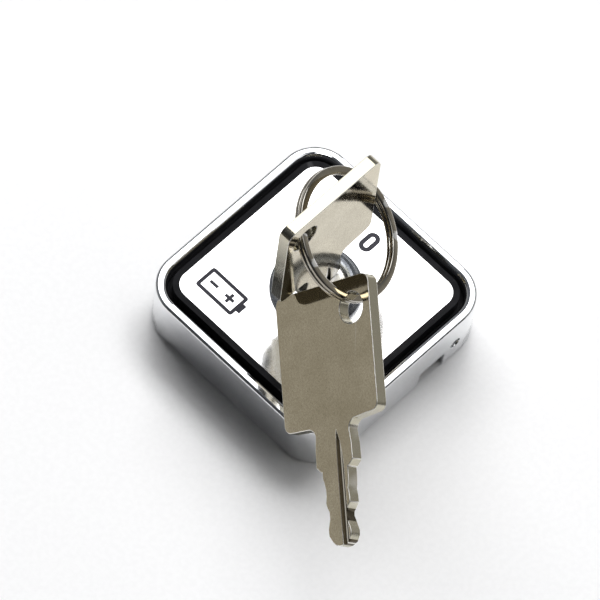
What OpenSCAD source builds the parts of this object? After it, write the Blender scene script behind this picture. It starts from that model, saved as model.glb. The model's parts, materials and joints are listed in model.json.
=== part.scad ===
/* [Housing] */
// outside width of the square metal bezel
bezel_w = 50; // [46:0.5:60]
// height of the bezel, from the mounting face to the dial face
bezel_h = 13.4; // [13.4:0.1:16]
// outside corner radius of the bezel
bezel_r = 8; // [7:0.5:10]
// wall thickness of the bezel
bezel_wall = 2.4; // [2.2:0.1:2.6]
// width of the open gap between bezel and plate carrier
gap_w = 1.1; // [0.8:0.1:1.2]
// width of the visible edge of the plate carrier
carrier_edge = 1.28; // [1:0.02:1.4]
// thickness of the polished dial plate
plate_t = 1; // [0.8:0.1:1.2]

/* [Lock] */
// outside radius of the domed collar round the keyhole
collar_r = 9.4; // [9.2:0.1:11]
// height of the collar above the dial plate
collar_h = 3; // [2.9:0.1:3.4]
// radius of the lock barrel
barrel_r = 7.75; // [7.7:0.05:8]
// radius of the turning plug
plug_r = 5.45; // [5.44:0.01:5.47]
// thickness of one wafer
wafer_t = 1.1; // [0.9:0.05:1.15]

/* [Keys] */
// thickness of the key blank
key_t = 2.6; // [2.2:0.1:2.6]
// width of the key bow
bow_w = 25.6; // [24.6:0.2:25.6]
// height of the key bow
bow_h = 27.6; // [27:0.1:28]
// radius of the hole in the bow
bow_hole_r = 3.2; // [3.2:0.05:3.5]
// width of the neck under the bow
neck_w = 9.2; // [8.6:0.1:9.6]
// width of the blade
blade_w = 7; // [6.6:0.1:7.2]
// length of the blade below its shoulder
blade_l = 15.3; // [14:0.1:15.4]

/* [Ring] */
// outside radius of the split ring
ring_r = 13.65; // [13.55:0.05:13.7]
// radial thickness of the split ring
ring_t = 1.65; // [1.4:0.05:1.65]
// width of the two coils side by side
ring_w = 1.95; // [1.6:0.05:1.95]

/* [Switch] */
// smallest radius of the drive cam
cam_r = 7; // [6.6:0.1:7]
// rise of the drive cam over a quarter turn
cam_rise = 2; // [1.6:0.1:2]
// radius of the silver contact points
point_r = 0.8; // [0.6:0.05:0.9]

/* [Hidden] */
$fn = 48;
half = bezel_w / 2;
top_z = bezel_h;
in_half = half - bezel_wall;
in_r = bezel_r - bezel_wall;
car_half = in_half - gap_w;
plate_half = car_half - carrier_edge - 0.02;
shelf_z = top_z - 5;
flange_z = shelf_z + 0.4;
flange_top = top_z - 3.4;
pocket_z = top_z - plate_t;
ceil_z = top_z - 2.5;
corner_p = half - 7.6;
bore_r = 5.5;
barrel_z0 = top_z - 8.6;
face_z = top_z + collar_h - 0.6;
key_z = face_z + 0.05;
base_t = 1.4;
base_half = in_half - 0.2;
insert_y = 16.5;
cam_z0 = 2.65;
cam_z1 = barrel_z0 - 0.05;
nose_r = 0.8;
neck_l = 9.4;
hole_y = bow_w / 2 - 5.1;
hole_z = neck_l + bow_h - 6.15;
groove_y = 1.6;
wafer_pitch = 1.8;
wafer_z0 = 5.6;
stem_z = 3.65;
bar_x = 14.2;
point_x = 15.5;

// ---- shared shapes -------------------------------------------------------

module rsq(h, r) {
    square([2 * h, 2 * (h - r)], center = true);
    square([2 * (h - r), 2 * h], center = true);
    for (x = [-1, 1])
        for (y = [-1, 1])
            translate([x * (h - r), y * (h - r)])
                circle(r);
}

module slab(h, r, z0, z1) {
    translate([0, 0, z0])
        linear_extrude(z1 - z0)
            rsq(h, r);
}

module box(x0, x1, y0, y1, z0, z1) {
    translate([x0, y0, z0])
        cube([x1 - x0, y1 - y0, z1 - z0]);
}

module rod(r, z0, z1) {
    translate([0, 0, z0])
        cylinder(r = r, h = z1 - z0);
}

module four() {
    for (x = [-1, 1])
        for (y = [-1, 1])
            translate([x * corner_p, y * corner_p, 0])
                children();
}

module stadium(w, h) {
    square([w, h - w], center = true);
    for (s = [-1, 1])
        translate([0, s * (h - w) / 2])
            circle(w / 2);
}

// a wall profile carried round the square, sharp on the straights and turned at the corners
module swept_frame() {
    c = half - bezel_r;
    for (a = [0, 90, 180, 270])
        rotate([0, 0, a]) {
            translate([c, c, 0])
                rotate([90, 0, 0])
                    linear_extrude(2 * c)
                        children();
            translate([c, c, 0])
                rotate_extrude(angle = 90)
                    children();
        }
}

// ---- housing -------------------------------------------------------------

module bezel_profile() {
    o = bezel_r;
    i = in_r;
    e = 0.6;
    f = 1;
    polygon(concat(
        [[i, 0], [o - 0.3, 0], [o, 0.3]],
        [for (a = [0:15:90]) [o - e + e * cos(a), top_z - e + e * sin(a)]],
        [for (a = [90:15:180]) [i + f + f * cos(a), top_z - f + f * sin(a)]],
        [[i, shelf_z], [i - 1.6, shelf_z], [i - 1.6, shelf_z - 1.3], [i, shelf_z - 1.8]]));
}

module bezel() {
    color("silver")
        difference() {
            union() {
                swept_frame()
                    bezel_profile();
                translate([0, 0, shelf_z - 1.8])
                    linear_extrude(1.8)
                        intersection() {
                            rsq(in_half + 0.4, in_r + 0.4);
                            for (x = [-1, 1])
                                for (y = [-1, 1])
                                    translate([x * (in_half - 3.4), y * (in_half - 3.4)])
                                        square(8.4, center = true);
                        }
            }
            four()
                rod(1.35, shelf_z - 3, shelf_z + 1);
            box(in_half - 1, half + 1, 4.9, 11.9, -1, 4.6);
            translate([in_half - 1, 15, 5])
                rotate([0, 90, 0])
                    cylinder(r = 1.28, h = 5);
            box(-in_half - 0.6, -in_half + 1, -5.2, 5.2, 2.9, 4.6);
        }
}

module plate_carrier() {
    color("dimgray")
        difference() {
            union() {
                slab(in_half - 0.1, in_r - 0.1, flange_z, flange_top);
                slab(car_half, 4.5, flange_top, top_z);
                four()
                    rod(2.4, shelf_z, flange_z);
            }
            slab(plate_half + 0.02, 3.32, pocket_z, top_z + 1);
            slab(15, 3, flange_z - 1, ceil_z);
            rod(barrel_r + 0.05, 0, top_z + 1);
            four()
                rod(1.22, shelf_z - 1, ceil_z + 0.6);
        }
}

module carrier_seal() {
    color([0.06, 0.06, 0.06])
        difference() {
            slab(in_half - 0.15, in_r - 0.15, shelf_z, flange_z);
            slab(in_half - 1.4, in_r - 1.4, shelf_z - 1, flange_z + 1);
        }
}

module zero_mark() {
    difference() {
        stadium(2.95, 4.85);
        stadium(1.05, 2.95);
    }
}

module one_mark() {
    square([0.75, 5], center = true);
    translate([-0.6, 1.95])
        rotate([0, 0, 42])
            square([1.7, 0.7], center = true);
}

module battery_mark() {
    difference() {
        union() {
            square([9.9, 4.2], center = true);
            square([8.7, 5.4], center = true);
            for (x = [-1, 1])
                for (y = [-1, 1])
                    translate([x * 4.35, y * 2.1])
                        circle(0.6);
        }
        square([8.3, 3.8], center = true);
    }
    translate([5.3, 0])
        square([1, 2.2], center = true);
    translate([-2.2, 0])
        square([2.1, 0.7], center = true);
    translate([2.1, 0]) {
        square([2.3, 0.7], center = true);
        square([0.7, 2.3], center = true);
    }
}

module dial_2d() {
    translate([0, 15])
        zero_mark();
    translate([15, 0])
        one_mark();
    translate([-12.3, -14.2])
        battery_mark();
}

module face_plate() {
    color("white")
        difference() {
            slab(plate_half, 3.3, pocket_z, top_z);
            rod(barrel_r + 0.1, 0, top_z + 1);
            translate([0, 0, top_z - 0.4])
                linear_extrude(1)
                    dial_2d();
        }
}

module dial_markings() {
    color("black")
        translate([0, 0, top_z - 0.4])
            linear_extrude(0.34)
                dial_2d();
}

module base_cover() {
    color([0.15, 0.15, 0.16])
        difference() {
            union() {
                slab(base_half, in_r - 0.2, 0, base_t);
                for (s = [-1, 1])
                    translate([0, s * insert_y, 0])
                        rod(3.4, base_t - 0.2, 4.2);
                box(20.3, in_half - 0.7, 12.8, 17.2, base_t - 0.2, 6.3);
                box(-in_half + 0.7, -in_half + 2.3, -5, 5, base_t - 0.2, 6.3);
                box(-in_half - 0.5, -in_half + 1, -5, 5, 3.1, 4.4);
                for (s = [-1, 1])
                    translate([12.2, s * 7.8, 0])
                        rod(0.8, base_t - 0.2, 2.6);
            }
            difference() {
                slab(base_half + 1, in_r + 0.8, 0.45, 0.95);
                slab(base_half - 0.55, in_r - 0.75, 0, 2);
            }
            for (s = [-1, 1])
                translate([0, s * insert_y, 0])
                    rod(2.2, -1, 5);
            rod(4.4, 0.4, 2);
        }
}

module base_seal() {
    color([0.1, 0.1, 0.1])
        difference() {
            slab(in_half - 0.03, in_r - 0.03, 0.47, 0.93);
            slab(base_half - 0.53, in_r - 0.73, 0, 2);
            box(in_half - 1.6, half, 4.9, 11.9, -1, 0.45);
        }
}

module mounting_inserts() {
    color("goldenrod")
        for (s = [-1, 1])
            translate([0, s * insert_y, 0])
                difference() {
                    union() {
                        rod(2.18, 0.05, 1.6);
                        rod(1.9, 1.5, 2.1);
                        rod(2.18, 2, 4.1);
                    }
                    rod(1.25, -1, 5);
                }
}

module cross_recess(z0, z1) {
    box(-1.1, 1.1, -0.25, 0.25, z0, z1);
    box(-0.25, 0.25, -1.1, 1.1, z0, z1);
}

module carrier_screws() {
    color("gray")
        four()
            difference() {
                union() {
                    rod(2.3, shelf_z - 3.3, shelf_z - 1.8);
                    rod(1.2, shelf_z - 2, ceil_z + 0.3);
                }
                cross_recess(shelf_z - 4, shelf_z - 2.4);
            }
}

module grub_screw() {
    color("gray")
        translate([in_half - 0.68, 15, 5])
            rotate([0, 90, 0])
                difference() {
                    union() {
                        cylinder(r = 0.8, h = 0.6);
                        translate([0, 0, 0.5])
                            cylinder(r = 1.25, h = 2.2);
                    }
                    translate([0, 0, 1.4])
                        cylinder(r = 0.72, h = 3, $fn = 6);
                }
}

// ---- lock ----------------------------------------------------------------

module lock_collar() {
    t = top_z;
    h = collar_h;
    r = collar_r;
    color("silver")
        rotate_extrude()
            polygon([[barrel_r + 1.2, t], [r, t], [r, t + 0.5], [r - 0.12, t + 1.1], [r - 0.4, t + 1.65],
                     [r - 0.85, t + h - 0.85], [r - 1.45, t + h - 0.4], [r - 2.1, t + h - 0.12],
                     [r - 2.7, t + h], [6.2, t + h], [5.9, t + h - 0.12], [5.75, t + h - 0.4],
                     [5.75, t + 2.15], [barrel_r - 0.25, t + 2.15], [barrel_r - 0.25, t + 1.05],
                     [barrel_r + 1.2, t + 1.05]]);
}

module lock_barrel() {
    b = barrel_r;
    z = barrel_z0;
    color("lightslategray")
        difference() {
            rotate_extrude()
                polygon(concat(
                    [[bore_r, z], [b - 0.6, z]],
                    [for (i = [0:5]) each [[b - 0.4, z + 0.4 + i], [b, z + 0.9 + i]]],
                    [[b, top_z], [b + 1.15, top_z], [b + 1.15, top_z + 1], [b - 0.3, top_z + 1],
                     [b - 0.3, top_z + 2.1], [bore_r, top_z + 2.1]]));
            for (a = [0, 90])
                rotate([0, 0, a])
                    box(-3.25, 3.25, -6.65, 6.65, z - 1, z + 9.3);
        }
}

module barrel_washer() {
    color("gray")
        difference() {
            rod(10.5, ceil_z - 0.6, ceil_z);
            rod(barrel_r + 0.1, 0, top_z);
        }
}

module barrel_nut() {
    color("darkgoldenrod")
        translate([0, 0, ceil_z - 3])
            difference() {
                intersection() {
                    cylinder(r = 11, h = 2.4, $fn = 6);
                    cylinder(r = 10.7, h = 2.4);
                }
                translate([0, 0, -1])
                    cylinder(r = barrel_r + 0.03, h = 5);
            }
}

module keyway(z0, z1) {
    difference() {
        box(-key_t / 2 - 0.08, key_t / 2 + 0.08, -blade_w / 2 - 0.1, blade_w / 2 + 0.1, z0, z1);
        for (s = [-1, 1])
            translate([s * (key_t / 2 + 0.08), s * groove_y, (z0 + z1) / 2])
                cube([0.8, 1.1, z1 - z0 + 1], center = true);
    }
}

module double_d(r, f, z0, z1) {
    intersection() {
        rod(r, z0, z1);
        box(-f, f, -r, r, z0, z1);
    }
}

module lock_plug() {
    color("gainsboro")
        difference() {
            union() {
                rod(plug_r, barrel_z0 - 0.03, face_z);
                double_d(4.6, 4, 1.9, barrel_z0);
            }
            keyway(0, face_z + 1);
            for (i = [0:4])
                box(-3.2, 3.2, -7, 7, wafer_z0 + i * wafer_pitch - 0.6, wafer_z0 + i * wafer_pitch + 0.6);
            difference() {
                rod(7, 2.1, 2.6);
                rod(4.2, 2, 3);
            }
            difference() {
                rod(7, top_z + 0.7, top_z + 1.7);
                rod(4.6, top_z, top_z + 2);
            }
        }
}

module plug_o_ring() {
    color([0.07, 0.07, 0.07])
        rotate_extrude()
            translate([5.04, top_z + 1.2])
                circle(0.43, $fn = 24);
}

module drive_cam() {
    m = 3;
    color("ivory")
        translate([0, 0, cam_z0])
            difference() {
                linear_extrude(cam_z1 - cam_z0)
                    polygon(concat(
                        [for (a = [-20:5:-5]) [cam_r * cos(a), cam_r * sin(a)]],
                        [for (a = [0:m:90]) let (r = cam_r + cam_rise * a / 90) [r * cos(a), r * sin(a)]],
                        [for (a = [95:5:115]) let (r = cam_r + cam_rise) [r * cos(a), r * sin(a)]],
                        [for (a = [130:10:330]) [6.4 * cos(a), 6.4 * sin(a)]]));
                translate([0, 0, -1])
                    double_d(4.62, 4.02, 0, 5);
            }
}

module retaining_clip() {
    color("gray")
        difference() {
            rod(5.8, 2.12, 2.58);
            rod(4.24, 2, 3);
            box(-2.6, 2.6, -8, 0, 2, 3);
            for (s = [-1, 1])
                translate([s * 3.6, -3.9, 0])
                    rod(0.45, 2, 3);
        }
}

module wafer(side) {
    linear_extrude(wafer_t)
        difference() {
            intersection() {
                circle(plug_r - 0.03);
                square([6.3, 12], center = true);
            }
            translate([0, -side * 0.43])
                square([key_t + 0.3, blade_w + 1.05], center = true);
        }
}

module wafer_set(side, list) {
    for (i = list)
        translate([0, 0, wafer_z0 + i * wafer_pitch - wafer_t / 2])
            wafer(side);
}

module wafers_up() {
    color("goldenrod")
        wafer_set(1, [0, 2, 4]);
}

module wafers_down() {
    color("goldenrod")
        wafer_set(-1, [1, 3]);
}

// ---- keys and ring -------------------------------------------------------

// one side of the bow and neck, from the middle of the top edge down to the seat on the plug
function bow_side(s) = let (b = bow_w / 2, n = neck_w / 2, t = neck_l + bow_h) concat(
    [for (a = [90:-15:0]) [s * (b - 1.9 + 1.9 * cos(a)), t - 1.9 + 1.9 * sin(a)]],
    [for (a = [0:-15:-90]) [s * (b - 1.8 + 1.8 * cos(a)), neck_l + 1.8 + 1.8 * sin(a)]],
    [for (a = [105:15:180]) [s * (n + 2 + 2 * cos(a)), neck_l - 2.25 + 2 * sin(a)]],
    [[s * (n + 0.35), 4.4], [s * (n + 0.4), 1.2], [s * (blade_w / 2 + 0.25), 0]]);

function flip(list) = [for (i = [len(list) - 1:-1:0]) list[i]];

module key_outline() {
    w = blade_w / 2;
    l = blade_l;
    polygon(concat(
        bow_side(-1),
        [[-w, 0], [-w, -1.9], [-w + 0.15, -3.5], [-w + 0.35, -4.3], [-w + 0.1, -5.8], [-w + 0.1, -7.1],
         [-w + 1.45, -8.6], [-w + 1.55, -9.4], [-w + 0.7, -11.7], [-w + 0.4, -12.6], [-w + 0.5, -l + 1.8],
         [-w + 1.3, -l + 0.6], [-1, -l + 0.1], [-0.3, -l]],
        [[0.3, -l], [1.2, -l + 0.3], [2, -l + 1], [w - 0.6, -l + 2.3], [w - 0.5, -12.2], [w - 0.55, -11.4],
         [w - 1.1, -9.5], [w - 1.1, -8.2], [w - 0.65, -7.3], [w - 0.35, -6.3], [w - 0.6, -4.9],
         [w - 0.6, -3.6], [w - 0.3, -2.2], [w, -1.2], [w, 0]],
        flip(bow_side(1))));
}

// the guide groove: a point under the bow, widening to full width and running out at the tip
module groove_2d(s) {
    polygon([[s * (groove_y - 0.8), -blade_l - 1], [s * (groove_y + 0.8), -blade_l - 1],
             [s * (groove_y + 0.8), 0.4], [s * (groove_y + 0.6), 2.8], [s * (groove_y + 0.25), 5.2],
             [s * (groove_y - 0.45), 7.3], [s * (groove_y - 0.6), 5.6], [s * (groove_y - 0.7), 2]]);
}

module key_blank() {
    color([0.72, 0.68, 0.6])
        difference() {
            translate([-key_t / 2, 0, 0])
                rotate([90, 0, 90])
                    linear_extrude(key_t)
                        difference() {
                            key_outline();
                            translate([-hole_y, hole_z])
                                circle(bow_hole_r);
                        }
            for (s = [-1, 1])
                translate([s * key_t / 2 - 0.45, 0, 0])
                    rotate([90, 0, 90])
                        linear_extrude(0.9)
                            groove_2d(s);
        }
}

module operating_key() {
    translate([0, 0, key_z])
        key_blank();
}

module spare_key() {
    translate([14.85, -6.2, top_z + 20.95])
        rotate([-73, 38.6, 61])
            translate([0, hole_y, -hole_z])
                key_blank();
}

module coil_2d(z0, z1) {
    r0 = ring_r - ring_t;
    c = 0.28;
    polygon([[r0, z0 + c], [r0 + 0.08, z0 + 0.08], [r0 + c, z0], [ring_r - c, z0], [ring_r - 0.08, z0 + 0.08],
             [ring_r, z0 + c], [ring_r, z1 - c], [ring_r - 0.08, z1 - 0.08], [ring_r - c, z1],
             [r0 + c, z1], [r0 + 0.08, z1 - 0.08], [r0, z1 - c]]);
}

module split_ring() {
    w = ring_w / 2;
    color([0.8, 0.78, 0.72])
        translate([3.56, 2.33, top_z + 24.98])
            rotate([0, 42.4, 32.4])
                difference() {
                    rotate_extrude($fn = 96) {
                        coil_2d(-w, 0.02);
                        coil_2d(-0.02, w);
                    }
                    rotate([0, 0, 205])
                        box(ring_r - 3, ring_r + 1, -0.25, 0.25, 0.02, w + 1);
                    rotate([0, 0, 150])
                        box(ring_r - 3, ring_r + 1, -0.25, 0.25, -w - 1, -0.02);
                }
}

// ---- switch --------------------------------------------------------------

module contact_block() {
    color("beige")
        difference() {
            union() {
                box(10.2, 21.6, -9, 9, base_t, 2);
                box(10.2, 12, -4, 4, base_t, 6.2);
                box(20, 21.6, -2, 2, base_t, 6.2);
                for (s = [-1, 1]) {
                    translate([0, s * 5.8, 0])
                        box(18.2, 21.6, -1.9, 1.9, base_t, 3.2);
                    translate([0, s * 8.6, 0])
                        box(17, 21.6, -0.4, 0.4, base_t, 4.8);
                    translate([0, s * 3, 0])
                        box(17, 21.6, -0.4, 0.4, base_t, 4.8);
                }
            }
            box(10, 13, -1.58, 1.58, cam_z0 - 0.13, cam_z1 + 0.03);
            translate([10, 0, stem_z])
                rotate([0, 90, 0])
                    cylinder(r = 0.76, h = 14);
            for (s = [-1, 1]) {
                translate([12.2, s * 7.8, 0])
                    rod(0.82, 0, 3);
                translate([20, s * 5.8, 0])
                    rod(0.82, 1.6, 4);
            }
        }
}

module fixed_contacts() {
    color("chocolate")
        for (s = [-1, 1])
            translate([0, s * 5.8, 0])
                difference() {
                    union() {
                        box(17.6, 18.15, -1.6, 1.6, 2.1, 5.3);
                        box(17.6, 21.5, -1.6, 1.6, 3.2, 3.7);
                        translate([point_x + cam_rise + 0.02, -s * 0.2, stem_z + 0.1])
                            rotate([0, 90, 0])
                                cylinder(r = point_r, h = 0.3);
                    }
                    translate([20, 0, 0])
                        rod(0.85, 0, 6);
                }
}

module terminal_clamps() {
    color("silver")
        for (s = [-1, 1])
            translate([20, s * 5.8, 0])
                difference() {
                    box(-1.5, 1.5, -1.6, 1.6, 3.72, 4.22);
                    rod(0.85, 0, 6);
                }
}

module terminal_screws() {
    color("gray")
        for (s = [-1, 1])
            translate([20, s * 5.8, 0])
                difference() {
                    union() {
                        rod(0.8, 1.7, 4.3);
                        rod(1.5, 4.24, 5.4);
                    }
                    box(-2, 2, -0.2, 0.2, 4.9, 6);
                }
}

module contact_plunger() {
    z0 = cam_z0 - 0.1;
    z1 = cam_z1;
    color("ivory")
        difference() {
            union() {
                translate([cam_r + nose_r + 0.05, 0, 0])
                    rod(nose_r, z0, z1);
                box(cam_r + nose_r + 0.05, bar_x, -nose_r, nose_r, z0, z1);
                box(9.8, bar_x, -1.5, 1.5, z0, z1);
                box(bar_x - 1.1, bar_x, -3, 3, z0, z1 + 0.4);
                translate([bar_x - 0.1, 0, stem_z])
                    rotate([0, 90, 0])
                        cylinder(r = 0.7, h = 5.9);
            }
        }
}

module contact_bridge() {
    color("peru")
        difference() {
            box(bar_x, bar_x + 0.5, -6.8, 6.8, stem_z - 0.85, stem_z + 0.95);
            translate([bar_x - 1, 0, stem_z])
                rotate([0, 90, 0])
                    cylinder(r = 0.73, h = 3);
        }
}

module bridge_contacts() {
    color("white")
        for (s = [-1, 1])
            translate([bar_x + 0.5, s * 5.6, stem_z + 0.1])
                rotate([0, 90, 0])
                    cylinder(r = point_r, h = point_x - bar_x - 0.5);
}

module return_spring() {
    x0 = bar_x + 0.55;
    len = 20 - 0.05 - x0;
    turns = 5;
    arc = 130;
    color("silver")
        translate([x0, 0, stem_z])
            rotate([0, 90, 0])
                linear_extrude(len, twist = 360 * turns, slices = 14 * turns, $fn = 12)
                    polygon(concat(
                        [for (a = [0:26:arc]) [1.45 * cos(a), 1.45 * sin(a)]],
                        [for (a = [arc:-26:0]) [1.05 * cos(a), 1.05 * sin(a)]]));
}

// ---- nodes ---------------------------------------------------------------

bezel();
plate_carrier();
carrier_seal();
face_plate();
dial_markings();
lock_collar();
lock_barrel();
barrel_washer();
barrel_nut();
base_cover();
base_seal();
mounting_inserts();
carrier_screws();
grub_screw();
contact_block();
fixed_contacts();
terminal_clamps();
terminal_screws();
lock_plug();
plug_o_ring();
drive_cam();
retaining_clip();
wafers_up();
wafers_down();
operating_key();
split_ring();
spare_key();
contact_plunger();
contact_bridge();
bridge_contacts();
return_spring();
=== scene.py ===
"""Looks for the key-operated switch: materials, keys, split ring, light, floor and camera."""

import json
import math

import bmesh
import bpy
from mathutils import Euler, Matrix, Vector


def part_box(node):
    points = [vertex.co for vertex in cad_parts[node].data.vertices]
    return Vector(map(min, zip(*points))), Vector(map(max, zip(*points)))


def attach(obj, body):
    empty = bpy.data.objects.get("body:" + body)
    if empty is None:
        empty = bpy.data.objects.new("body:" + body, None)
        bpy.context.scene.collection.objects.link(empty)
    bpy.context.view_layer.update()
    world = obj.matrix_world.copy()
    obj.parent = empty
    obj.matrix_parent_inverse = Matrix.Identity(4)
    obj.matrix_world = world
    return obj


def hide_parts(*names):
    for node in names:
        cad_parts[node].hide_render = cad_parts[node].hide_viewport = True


MM = 0.001

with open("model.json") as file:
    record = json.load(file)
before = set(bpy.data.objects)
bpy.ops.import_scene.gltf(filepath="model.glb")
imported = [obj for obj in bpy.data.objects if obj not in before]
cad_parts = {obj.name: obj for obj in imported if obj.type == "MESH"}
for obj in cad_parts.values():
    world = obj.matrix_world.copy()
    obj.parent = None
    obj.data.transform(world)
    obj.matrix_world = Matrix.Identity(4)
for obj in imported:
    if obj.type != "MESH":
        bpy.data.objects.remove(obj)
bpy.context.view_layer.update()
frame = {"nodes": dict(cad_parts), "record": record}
nodes = frame["nodes"]
record = frame["record"]
slot_of = {s["node"]: s["material_slot"] for s in record["subparts"]}
body_of = {n: b for b, members in record["behaviour"]["bodies"].items() for n in members}


# ---- shader helpers ------------------------------------------------------

class Graph:
    """Short names for the nodes that a material or the world is built from."""

    def __init__(self, tree):
        self.tree = tree

    def add(self, kind, **props):
        node = self.tree.nodes.new(kind)
        for key, value in props.items():
            setattr(node, key, value)
        return node

    def link(self, a, b):
        self.tree.links.new(a, b)

    def axes(self, vector):
        """The X, Y and Z outputs of a vector."""
        split = self.add("ShaderNodeSeparateXYZ")
        self.link(vector, split.inputs["Vector"])
        return split.outputs

    def span(self, value, lo, hi, from_lo=0.0, from_hi=1.0):
        """Carry the range from_lo..from_hi of a value over to lo..hi, clamped at both ends."""
        m = self.add("ShaderNodeMapRange")
        m.inputs["From Min"].default_value = from_lo
        m.inputs["From Max"].default_value = from_hi
        m.inputs["To Min"].default_value = lo
        m.inputs["To Max"].default_value = hi
        self.link(value, m.inputs["Value"])
        return m.outputs["Result"]

    def between(self, value, lo, hi):
        """0 below lo, 1 above hi."""
        return self.span(value, 0.0, 1.0, lo, hi)

    def calc(self, op, a, b=0.0):
        m = self.add("ShaderNodeMath", operation=op)
        for socket, value in zip(m.inputs, (a, b)):
            if isinstance(value, (int, float)):
                socket.default_value = value
            else:
                self.link(value, socket)
        return m.outputs[0]


class Shader(Graph):
    """One procedural material."""

    def __init__(self, name):
        self.mat = bpy.data.materials.new(name)
        self.mat.use_nodes = True
        super().__init__(self.mat.node_tree)
        self.bsdf = self.tree.nodes["Principled BSDF"]
        self.coord = self.add("ShaderNodeTexCoord").outputs["Object"]

    def surface(self, name, value):
        """Give one input of the surface a number or a node's output."""
        if isinstance(value, (int, float)):
            self.bsdf.inputs[name].default_value = value
        else:
            self.link(value, self.bsdf.inputs[name])

    def unmap(self, vector, origin, turn):
        """A vector as read in a frame that sits at origin and is turned by the Euler angles."""
        m = self.add("ShaderNodeMapping", vector_type="TEXTURE")
        m.inputs["Location"].default_value = origin
        m.inputs["Rotation"].default_value = turn
        self.link(vector, m.inputs["Vector"])
        return m.outputs["Vector"]

    def local_to(self, origin, turn):
        """Read every texture in the frame that sits at origin and is turned by the Euler angles."""
        self.coord = self.unmap(self.coord, origin, turn)

    def stretched(self, scale):
        m = self.add("ShaderNodeMapping")
        m.inputs["Scale"].default_value = scale
        self.link(self.coord, m.inputs["Vector"])
        return m.outputs["Vector"]

    def noise(self, scale, detail=3.0, rough=0.55, stretch=None):
        n = self.add("ShaderNodeTexNoise")
        n.inputs["Scale"].default_value = scale
        n.inputs["Detail"].default_value = detail
        n.inputs["Roughness"].default_value = rough
        self.link(self.stretched(stretch) if stretch else self.coord, n.inputs["Vector"])
        return n.outputs["Fac"]

    def mix(self, fac, a, b):
        """Colour a where fac is 0 and colour b where it is 1."""
        m = self.add("ShaderNodeMix", data_type="RGBA")
        self.link(fac, m.inputs["Factor"])
        for name, value in (("A", a), ("B", b)):
            socket = [s for s in m.inputs if s.name == name and s.type == "RGBA"][0]
            if isinstance(value, tuple):
                socket.default_value = (*value, 1.0)
            else:
                self.link(value, socket)
        return [s for s in m.outputs if s.type == "RGBA"][0]

    def bump(self, height, strength, depth):
        b = self.add("ShaderNodeBump")
        b.inputs["Strength"].default_value = strength
        b.inputs["Distance"].default_value = depth
        self.link(height, b.inputs["Height"])
        self.surface("Normal", b.outputs["Normal"])

    def edge_wear(self, lo=0.52, hi=0.6):
        """1 on convex edges, where the surface's pointiness is above hi."""
        return self.between(self.add("ShaderNodeNewGeometry").outputs["Pointiness"], lo, hi)


# ---- metals and plastics -------------------------------------------------

def metal(name, tint, dark, rough, spread, grain, stretch=None, bump=0.15, wear=(0.95, 0.95, 0.95)):
    """Cloudy metal with a fine grain in its roughness and bump, and worn edges."""
    s = Shader(name)
    cloud = s.noise(scale=140.0, detail=4.0)
    base = s.mix(s.between(cloud, 0.35, 0.65), dark, tint)
    s.surface("Base Color", s.mix(s.edge_wear(), base, wear))
    s.surface("Metallic", 1.0)
    fine = s.noise(grain, detail=5.0, rough=0.7, stretch=stretch)
    s.surface("Roughness", s.span(fine, rough - spread, rough + spread, 0.3, 0.7))
    s.bump(fine, bump, depth=0.02 * MM)
    return s.mat


def moulded(name, tint, light, rough, grain=2600.0, bump=0.25, gloss=0.5):
    """Moulded plastic or rubber with a pebbled surface and paler edges."""
    s = Shader(name)
    cloud = s.noise(scale=300.0, detail=5.0)
    base = s.mix(s.between(cloud, 0.3, 0.7), tint, light)
    pale = tuple(min(1.0, c * 1.6 + 0.02) for c in light)
    s.surface("Base Color", s.mix(s.edge_wear(0.53, 0.62), base, pale))
    pebble = s.noise(grain, detail=4.0, rough=0.6)
    s.surface("Roughness", s.span(pebble, rough - 0.08, rough + 0.08))
    s.surface("Specular IOR Level", gloss)
    s.bump(pebble, bump, depth=0.03 * MM)
    return s.mat


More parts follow.
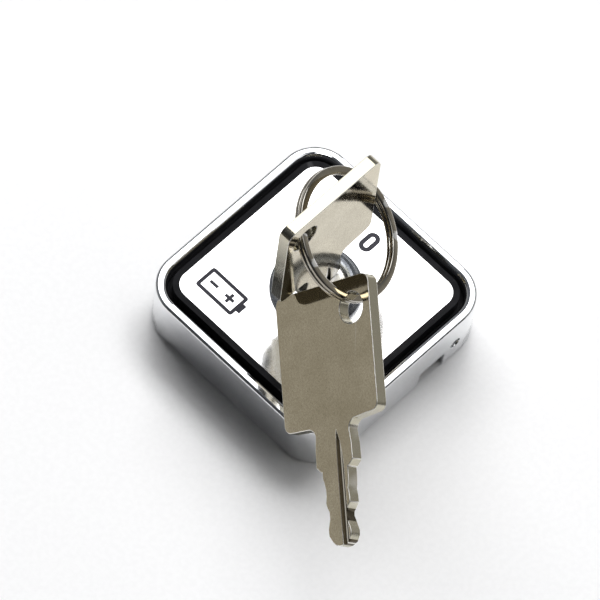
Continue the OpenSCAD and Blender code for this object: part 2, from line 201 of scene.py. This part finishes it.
finish = {
    "bezel_chrome": metal("bezel chrome", (0.86, 0.87, 0.88), (0.80, 0.81, 0.83),
                          rough=0.07, spread=0.03, grain=500.0, bump=0.02),
    "polished_steel": metal("mirror plate", (0.93, 0.93, 0.93), (0.89, 0.89, 0.90),
                            rough=0.15, spread=0.03, grain=260.0, bump=0.015),
    "satin_metal": metal("satin chrome", (0.40, 0.42, 0.45), (0.28, 0.30, 0.33),
                         rough=0.24, spread=0.06, grain=2200.0),
    "zinc_alloy": metal("plated zinc", (0.62, 0.63, 0.64), (0.52, 0.53, 0.55),
                        rough=0.3, spread=0.08, grain=1800.0),
    "steel": metal("zinc plated steel", (0.62, 0.62, 0.61), (0.5, 0.5, 0.5),
                   rough=0.3, spread=0.08, grain=2000.0),
    "dark_steel": metal("black oxide steel", (0.11, 0.11, 0.12), (0.06, 0.06, 0.065),
                        rough=0.38, spread=0.08, grain=2000.0, wear=(0.3, 0.3, 0.31)),
    "brass": metal("brass", (0.78, 0.58, 0.28), (0.66, 0.47, 0.2),
                   rough=0.28, spread=0.08, grain=1800.0, bump=0.12, wear=(0.9, 0.75, 0.45)),
    "copper": metal("copper strip", (0.76, 0.43, 0.29), (0.6, 0.32, 0.2),
                    rough=0.3, spread=0.08, grain=900.0, stretch=(1, 8, 1), bump=0.12,
                    wear=(0.9, 0.6, 0.45)),
    "silver": metal("silver contact", (0.86, 0.86, 0.83), (0.74, 0.74, 0.7),
                    rough=0.3, spread=0.08, grain=2400.0),
    "ring_nickel": metal("ring nickel", (0.40, 0.365, 0.295), (0.27, 0.24, 0.185),
                         rough=0.10, spread=0.04, grain=1600.0, bump=0.06),
    "black_plastic": moulded("black moulding", (0.008, 0.008, 0.009), (0.016, 0.016, 0.018),
                             rough=0.55, gloss=0.08),
    "black_rubber": moulded("black rubber", (0.012, 0.012, 0.012), (0.022, 0.022, 0.022),
                            rough=0.7, grain=1800.0),
    "black_fill": moulded("black filler", (0.012, 0.012, 0.016), (0.025, 0.025, 0.032),
                          rough=0.5, grain=3500.0, bump=0.3, gloss=0.03),
    "ivory_plastic": moulded("ivory nylon", (0.74, 0.70, 0.6), (0.82, 0.79, 0.7), rough=0.42),
}


# ---- key nickel ----------------------------------------------------------

KEY_LIGHT = (0.66, 0.60, 0.455)
KEY_DARK = (0.53, 0.475, 0.345)
KEY_SPECK = (0.30, 0.24, 0.16)
KEY_EDGE = (0.52, 0.49, 0.39)
# worn-edge colour, also used for the painted highlight line in the blade's groove
KEY_WORN_AND_HIGHLIGHT = (0.86, 0.83, 0.76)
KEY_BARE = (0.97, 0.95, 0.90)
# painted shade: the dark colour given to the floor of the blade's groove
KEY_GROOVE_SHADE = (0.10, 0.085, 0.06)

# The blade's groove in the key's own frame, where X is across the thickness and Z along the blade.
GROOVE_AT = 1.6 * MM
GROOVE_HALF = 0.82 * MM
# half-width of the painted highlight line along the groove's middle
GROOVE_HIGHLIGHT = 0.15 * MM
GROOVE_TOP = 11.0 * MM
BELOW_FACE = 1.28 * MM


def grooved(s, base):
    """Painted shade on the floor of the blade's groove, with one painted highlight line along its
    middle.
    """
    at = s.axes(s.coord)
    off_middle = s.calc("ABSOLUTE", s.calc("SUBTRACT", s.calc("ABSOLUTE", at["Y"]), GROOVE_AT))
    sunk = s.calc("LESS_THAN", s.calc("ABSOLUTE", at["X"]), BELOW_FACE)
    inside = s.calc("LESS_THAN", off_middle, GROOVE_HALF)
    on_blade = s.calc("LESS_THAN", at["Z"], GROOVE_TOP)
    groove = s.calc("MULTIPLY", s.calc("MULTIPLY", sunk, inside), on_blade)
    # painted shade on the groove's floor, and a painted highlight line along its middle
    groove_shade_and_highlight = s.mix(s.calc("LESS_THAN", off_middle, GROOVE_HIGHLIGHT), KEY_GROOVE_SHADE, KEY_WORN_AND_HIGHLIGHT)
    return s.mix(groove, base, groove_shade_and_highlight)


def key_rub(name, origin, turn):
    """The bright line worn along a key's edges."""
    s = Shader(name)
    s.local_to(origin, turn)
    fine = s.noise(scale=1800.0, detail=4.0, rough=0.6)
    s.surface("Base Color", grooved(s, s.mix(fine, KEY_WORN_AND_HIGHLIGHT, KEY_BARE)))
    s.surface("Metallic", 1.0)
    s.surface("Roughness", s.span(fine, 0.3, 0.42, 0.35, 0.65))
    return s.mat


def key_edge(s, turn):
    """1 on the sides of a key that face away from its own X axis, 0 on its two broad faces."""
    to_object = s.add("ShaderNodeVectorTransform", vector_type="NORMAL",
                      convert_from="WORLD", convert_to="OBJECT")
    s.link(s.add("ShaderNodeNewGeometry").outputs["True Normal"], to_object.inputs["Vector"])
    normal = s.axes(s.unmap(to_object.outputs["Vector"], (0, 0, 0), turn))
    return s.span(s.calc("ABSOLUTE", normal["X"]), 1.0, 0.0, 0.3, 0.7)


def key_metal(name, origin, turn):
    """Nickel plate: smooth faces with faint handling marks, milled lines on every edge."""
    s = Shader(name)
    s.local_to(origin, turn)
    cloud = s.noise(scale=120.0, detail=5.0, rough=0.6)
    specks = s.noise(scale=1500.0, detail=3.0, rough=0.6)
    pits = s.noise(scale=2400.0, detail=3.0, rough=0.7)
    on_edge = key_edge(s, turn)
    base = s.mix(s.between(cloud, 0.3, 0.7), KEY_DARK, KEY_LIGHT)
    base = s.mix(s.span(specks, 0.0, 0.3, 0.6, 0.75), base, KEY_SPECK)
    base = s.mix(s.span(pits, 0.0, 0.5, 0.42, 0.75), base, KEY_SPECK)
    base = grooved(s, s.mix(on_edge, base, KEY_EDGE))
    s.surface("Base Color", s.mix(s.edge_wear(0.54, 0.66), base, KEY_WORN_AND_HIGHLIGHT))
    s.surface("Metallic", 1.0)

    mottle = s.noise(scale=1100.0, detail=4.0, rough=0.65)
    milled = s.noise(scale=3000.0, detail=2.0, rough=0.5, stretch=(1.0, 0.05, 0.05))
    height = s.calc("ADD", s.calc("MULTIPLY", mottle, 0.3), s.calc("MULTIPLY", milled, on_edge))
    s.bump(height, strength=0.2, depth=0.03 * MM)
    polish = s.span(mottle, 0.07, 0.11, 0.35, 0.65)
    s.surface("Roughness", s.calc("ADD", polish, s.calc("MULTIPLY", on_edge, 0.06)))
    return s.mat


# ---- mesh helpers --------------------------------------------------------

WELD_GAP = 0.002 * MM


def bevelled(obj, width, segments, sharp_deg):
    """A modifier that rounds each edge sharper than an angle."""
    bevel = obj.modifiers.new("bevel", "BEVEL")
    bevel.width = width
    bevel.segments = segments
    bevel.limit_method = "ANGLE"
    bevel.angle_limit = math.radians(sharp_deg)
    return bevel


def soften(obj, width):
    """Small rounded edges on a CAD node, as modifiers only."""
    weld = obj.modifiers.new("weld", "WELD")
    weld.merge_threshold = WELD_GAP
    bevelled(obj, width, segments=2, sharp_deg=35).harden_normals = True


def placed(name, mesh, matrix, node, material):
    """A mesh carried to its place, standing in for a CAD node and moving with its body."""
    mesh.transform(matrix)
    mesh.materials.clear()
    mesh.materials.append(material)
    obj = bpy.data.objects.new(name, mesh)
    bpy.context.scene.collection.objects.link(obj)
    bpy.context.view_layer.update()
    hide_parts(node)
    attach(obj, body_of[node])
    return obj


def as_mesh(bm, name):
    mesh = bpy.data.meshes.new(name)
    bm.to_mesh(mesh)
    bm.free()
    return mesh


def place(origin, turn, hang=Vector()):
    """The matrix that turns a mesh and brings its own point hang to origin."""
    rotation = Euler(turn, "XYZ").to_matrix().to_4x4()
    return Matrix.Translation(origin) @ rotation @ Matrix.Translation(-hang)


# ---- keys ----------------------------------------------------------------

BLADE = 15.3 * MM                            # from the blade's tip up to the key's own origin
HOLE = Vector((0.0, -7.7, 30.85)) * MM       # the bow's hole in the key's own frame
HANG = Vector((14.85, -6.2, 34.35)) * MM     # where the spare key's hole hangs
UPRIGHT = (0, 0, 0)
TILT = [math.radians(a) for a in (-73.0, 38.6, 61.0)]


def key_mesh(origin):
    """The lock key's solid, cleaned to flat faces in the key's own frame, ready for rounded edges."""
    bm = bmesh.new()
    bm.from_mesh(nodes["operating_key"].data)
    bmesh.ops.translate(bm, vec=-origin, verts=bm.verts)
    bmesh.ops.remove_doubles(bm, verts=bm.verts, dist=WELD_GAP)
    bmesh.ops.dissolve_limit(bm, angle_limit=math.radians(0.6), verts=bm.verts, edges=bm.edges)
    for face in bm.faces:
        face.smooth = True
    for edge in bm.edges:
        edge.smooth = edge.calc_face_angle(0.0) < math.radians(30)
    return as_mesh(bm, "key_blank")


def rub_edges(obj, width, rub):
    """Round a key's edges and give the rounding its own bright material."""
    bevel = bevelled(obj, width, segments=3, sharp_deg=30)
    bevel.use_clamp_overlap = True
    even = obj.modifiers.new("even", "WEIGHTED_NORMAL")
    even.mode = "FACE_AREA"
    even.weight = 100
    even.keep_sharp = True
    obj.data.materials.append(rub)
    bevel.material = 1


key_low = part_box("operating_key")[0]
lock_at = Vector((0.0, 0.0, key_low[2] + BLADE))
spare_place = place(HANG, TILT, HOLE)
spare_at = spare_place.to_translation()
lock_mesh = key_mesh(lock_at)
spare_mesh = lock_mesh.copy()

finish["key_nickel"] = key_metal("key nickel", lock_at, UPRIGHT)
lock_key = placed("lock_key", lock_mesh, place(lock_at, UPRIGHT), "operating_key",
                  finish["key_nickel"])
rub_edges(lock_key, 0.22 * MM, key_rub("key edge", lock_at, UPRIGHT))

second_key = placed("second_key", spare_mesh, spare_place, "spare_key",
                    key_metal("spare key nickel", spare_at, TILT))
rub_edges(second_key, 0.26 * MM, key_rub("spare key edge", spare_at, TILT))
second_key.visible_shadow = False            # the table shows none from this key


# ---- split ring ----------------------------------------------------------

RING_OUTER = 13.65 * MM
RING_RADIAL = 1.65 * MM                      # the wire's size along the ring's radius
RING_WIDTH = 1.95 * MM                       # both coils side by side
RING_AT = Vector((3.56, 2.33, 38.38)) * MM
RING_TURN = [math.radians(a) for a in (0, 42.4, 32.4)]

WIRE_START = 210.0                           # degrees round the ring
WIRE_WOUND = 712.0                           # two turns less the end gap
WIRE_CROSS = 16.0                            # the stretch over which it steps beside its start
WIRE_STEPS = 360
WIRE_ROUND = 0.2                             # corner radius as a share of the radial size
WIRE_FILL = 0.96                             # a coil's share of its half of the width


def wire_section():
    """The outline of the flat wire, with its four corners rounded."""
    corner = RING_RADIAL * WIRE_ROUND
    reach = RING_RADIAL / 2 - corner
    rise = RING_WIDTH / 4 * WIRE_FILL - corner
    section = []
    for sx, sz, start in ((1, 1, 0), (-1, 1, 90), (-1, -1, 180), (1, -1, 270)):
        for deg in (0, 30, 60, 90):
            a = math.radians(start + deg)
            section.append((sx * reach + corner * math.cos(a), sz * rise + corner * math.sin(a)))
    return section


def ring_mesh():
    """One flat wire wound twice; it steps over its own start once, and both ends are cut square."""
    section = wire_section()
    middle = RING_OUTER - RING_RADIAL / 2
    crossing = WIRE_START + 360 - WIRE_CROSS
    bm = bmesh.new()
    rows = []
    for i in range(WIRE_STEPS + 1):
        deg = WIRE_START + WIRE_WOUND * i / WIRE_STEPS
        t = min(1.0, max(0.0, (deg - crossing) / WIRE_CROSS))
        z = RING_WIDTH / 4 * (2 * (t * t * (3 - 2 * t)) - 1)
        a = math.radians(deg)
        rows.append([bm.verts.new(((middle + x) * math.cos(a), (middle + x) * math.sin(a), z + y))
                     for x, y in section])
    n = len(section)
    for p, q in zip(rows, rows[1:]):
        for k in range(n):
            bm.faces.new((p[k], q[k], q[(k + 1) % n], p[(k + 1) % n])).smooth = True
    bm.faces.new(rows[0])
    bm.faces.new(list(reversed(rows[-1])))
    bmesh.ops.recalc_face_normals(bm, faces=bm.faces)
    return as_mesh(bm, "split_ring")


placed("key_ring", ring_mesh(), place(RING_AT, RING_TURN), "split_ring", finish["ring_nickel"])


# ---- CAD nodes -----------------------------------------------------------

for name, obj in nodes.items():
    obj.data.materials.clear()
    obj.data.materials.append(finish[slot_of[name]])

EDGES = {"bezel": 0.12, "plate_carrier": 0.12, "face_plate": 0.06, "base_cover": 0.15}
for name, width in EDGES.items():
    soften(nodes[name], width * MM)


# ---- floor and room ------------------------------------------------------

FLOOR_RADIUS = 0.3
FLOOR_DROP = 0.02 * MM                       # keeps the floor clear of the rear face

# Colours from straight down (0) past the horizon (0.5) to straight up (1).
SKY = ((0.40, (0.45, 0.44, 0.42)), (0.54, (0.42, 0.41, 0.39)), (0.62, (0.30, 0.30, 0.29)),
       (0.70, (0.20, 0.205, 0.215)), (1.0, (0.10, 0.105, 0.115)))


def floor_disc():
    bm = bmesh.new()
    bmesh.ops.create_circle(bm, cap_ends=True, segments=96, radius=FLOOR_RADIUS)
    mesh = as_mesh(bm, "floor")
    s = Shader("white table")
    grain = s.between(s.noise(scale=900.0), 0.4, 0.6)
    s.surface("Base Color", s.mix(grain, (0.89, 0.89, 0.895), (0.91, 0.91, 0.915)))
    s.surface("Roughness", 0.6)
    s.surface("Specular IOR Level", 0.2)
    mesh.materials.append(s.mat)
    obj = bpy.data.objects.new("floor", mesh)
    bpy.context.scene.collection.objects.link(obj)
    obj.location.z = -FLOOR_DROP


def room():
    """A dim studio: grey at the horizon, cooler and darker overhead and towards +X and -Y.

    It lights matt surfaces less than its reflections show.
    """
    world = bpy.data.worlds.new("studio")
    bpy.context.scene.world = world
    world.use_nodes = True
    g = Graph(world.node_tree)
    back = world.node_tree.nodes["Background"]
    way = g.axes(g.add("ShaderNodeTexCoord").outputs["Generated"])

    ramp = g.add("ShaderNodeValToRGB")
    elements = ramp.color_ramp.elements
    while len(elements) < len(SKY):
        elements.new(0.5)
    for element, (position, colour) in zip(elements, SKY):
        element.position = position
        element.color = (*colour, 1.0)
    g.link(g.between(way["Z"], -1.0, 1.0), ramp.inputs["Fac"])
    g.link(ramp.outputs["Color"], back.inputs["Color"])

    fade = g.span(g.calc("SUBTRACT", way["X"], way["Y"]), 1.0, 0.2, -0.2, 0.5)
    matt = g.add("ShaderNodeLightPath").outputs["Is Diffuse Ray"]
    g.link(g.calc("MULTIPLY", fade, g.span(matt, 1.0, 0.4)), back.inputs["Strength"])


# ---- lamps and camera ----------------------------------------------------

LAMP_HEIGHT = 2.6


def panel(name, width, depth, radiance):
    """A rectangular lamp; a radiance of 1 shows as white in a mirror."""
    light = bpy.data.lights.new(name, "AREA")
    light.shape = "RECTANGLE"
    light.size = width
    light.size_y = depth
    light.energy = radiance * math.pi * width * depth
    obj = bpy.data.objects.new(name, light)
    bpy.context.scene.collection.objects.link(obj)
    return obj


def ceiling(name, x, y, radiance, mirrored=True, lighting=True):
    """A level panel overhead, given by its x and y limits per unit of height."""
    obj = panel(name, (x[1] - x[0]) * LAMP_HEIGHT, (y[1] - y[0]) * LAMP_HEIGHT, radiance)
    obj.location = Vector(((x[0] + x[1]) / 2, (y[0] + y[1]) / 2, 1.0)) * LAMP_HEIGHT
    obj.visible_glossy = mirrored
    obj.visible_diffuse = lighting


def window(slope, size, radiance):
    """A panel that faces the object from slope, its x and y per unit of height, unseen in mirrors."""
    obj = panel("window", *size, radiance)
    away = Vector((*slope, 1.0)).normalized()
    side = Vector((0.0, 0.0, 1.0)).cross(away).normalized()
    turn = Matrix((side, away.cross(side), away)).transposed()
    obj.matrix_world = Matrix.Translation(away * LAMP_HEIGHT) @ turn.to_4x4()
    obj.visible_glossy = False


def camera(place_at, look_at, roll, lens):
    cam = bpy.data.objects.new("camera", bpy.data.cameras.new("camera"))
    bpy.context.scene.collection.objects.link(cam)
    cam.data.sensor_width = 36.0
    cam.data.lens = lens
    cam.data.clip_end = 20.0
    aim = (Vector(look_at) - Vector(place_at)).normalized()
    turn = aim.to_track_quat("-Z", "Y").to_matrix() @ Matrix.Rotation(math.radians(roll), 3, "Z")
    cam.matrix_world = Matrix.Translation(Vector(place_at)) @ turn.to_4x4()
    bpy.context.scene.camera = cam


floor_disc()
room()
ceiling("overhead", x=(-0.55, 0.12), y=(0.27, 0.9), radiance=2.6)
ceiling("overhead fill", x=(-0.6, 0.12), y=(0.42, 0.85), radiance=9.5, mirrored=False)
ceiling("overhead side", x=(0.12, 0.85), y=(0.1, 0.9), radiance=0.95)
ceiling("side fill", x=(0.2, 1.1), y=(0.2, 1.0), radiance=2.0, mirrored=False)
window(slope=(-1.15, 0.7), size=(1.84, 1.3), radiance=6.4)
ceiling("overhead glint", x=(-0.16, 0.06), y=(-0.16, 0.06), radiance=7.0, lighting=False)
camera(place_at=(0.46932, -0.62320, 1.51578), look_at=(-0.00078, -0.00372, 0.01208),
       roll=8.64, lens=512.3)
bpy.context.scene.view_settings.view_transform = "Standard"
